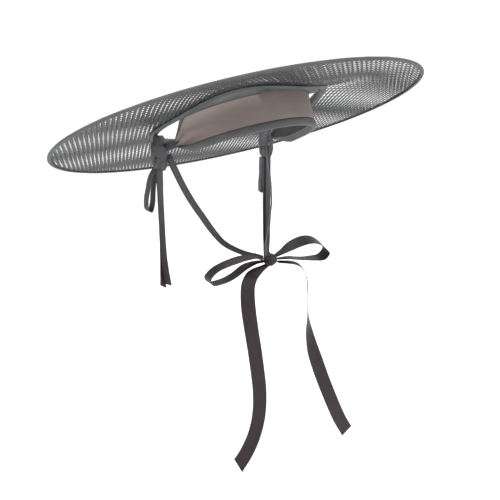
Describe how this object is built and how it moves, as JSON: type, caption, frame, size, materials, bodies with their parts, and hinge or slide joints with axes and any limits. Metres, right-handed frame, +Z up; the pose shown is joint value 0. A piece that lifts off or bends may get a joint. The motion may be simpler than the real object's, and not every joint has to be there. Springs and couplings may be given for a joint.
{
  "type": "brimmed hat",
  "caption": "Open-crown sun hat: a wide flat brim of see-through mesh, a satin forehead band inside its oval opening, and ribbon ties at the sides and under the chin.",
  "frame": {"origin": "middle of the brim's outer edge, at the centre of the space that the wearer's head fills", "axes": "+Z up as worn, the wearer faces -Y, +X to the wearer's left"},
  "size_m": [0.44, 0.4172, 0.4713],
  "materials": {
    "brim_mesh": "open woven polyester mesh, charcoal",
    "edge_tape": "fine ribbed binding tape, near black",
    "hoop_wire": "black coated spring steel wire",
    "hoop_core": "black plastic boning",
    "band_satin": "warm black satin",
    "band_lining": "plain woven lining",
    "ribbon": "plum black satin ribbon"
  },
  "bodies": {
    "hat": {"brim_mesh_upper": "brim_mesh", "brim_mesh_lower": "brim_mesh", "outer_hoop_wire": "hoop_wire", "opening_hoop_core": "hoop_core", "outer_edge_tape": "edge_tape", "opening_edge_tape": "edge_tape", "forehead_band_satin": "band_satin", "forehead_band_stiffener": "band_lining", "forehead_band_lining": "band_lining", "forehead_band_upper_tape": "edge_tape", "forehead_band_lower_tape": "edge_tape", "front_seam_tape": "edge_tape", "band_gather_right": "band_satin", "band_gather_left": "band_satin", "side_knot_right": "ribbon", "side_knot_left": "ribbon", "band_tie_right": "ribbon", "band_tie_left": "ribbon"},
    "side_tie_right": {"side_tail_front_right": "ribbon", "side_tail_back_right": "ribbon", "side_loop_right": "ribbon"},
    "side_tie_left": {"side_tail_front_left": "ribbon", "side_tail_back_left": "ribbon", "side_loop_left": "ribbon"},
    "chin_strap": {"chin_strap_right": "ribbon", "chin_strap_left": "ribbon", "chin_knot": "ribbon", "chin_loop_right": "ribbon", "chin_loop_left": "ribbon"},
    "chin_tail_right": {"chin_tail_right": "ribbon"},
    "chin_tail_left": {"chin_tail_left": "ribbon"}
  },
  "joints": [
    {"name": "chin_strap_swing", "type": "hinge", "parent": "hat", "child": "chin_strap", "pos_m": [0, 0.0272, -0.0339], "axis": [1, 0, 0], "range_deg": [-30, 0]},
    {"name": "chin_tail_right_swing", "type": "hinge", "parent": "chin_strap", "child": "chin_tail_right", "pos_m": [-0.008, -0.0616, -0.1576], "axis": [1, 0, 0], "range_deg": [-18, 0]},
    {"name": "chin_tail_left_swing", "type": "hinge", "parent": "chin_strap", "child": "chin_tail_left", "pos_m": [0.008, -0.0614, -0.1576], "axis": [1, 0, 0], "range_deg": [-18, 0]},
    {"name": "side_tie_right_swing", "type": "hinge", "parent": "hat", "child": "side_tie_right", "pos_m": [-0.0884, 0.0362, -0.0439], "axis": [1, 0, 0], "range_deg": [-12, 35]},
    {"name": "side_tie_left_swing", "type": "hinge", "parent": "hat", "child": "side_tie_left", "pos_m": [0.0884, 0.0362, -0.0439], "axis": [1, 0, 0], "range_deg": [-12, 35]}
  ]
}
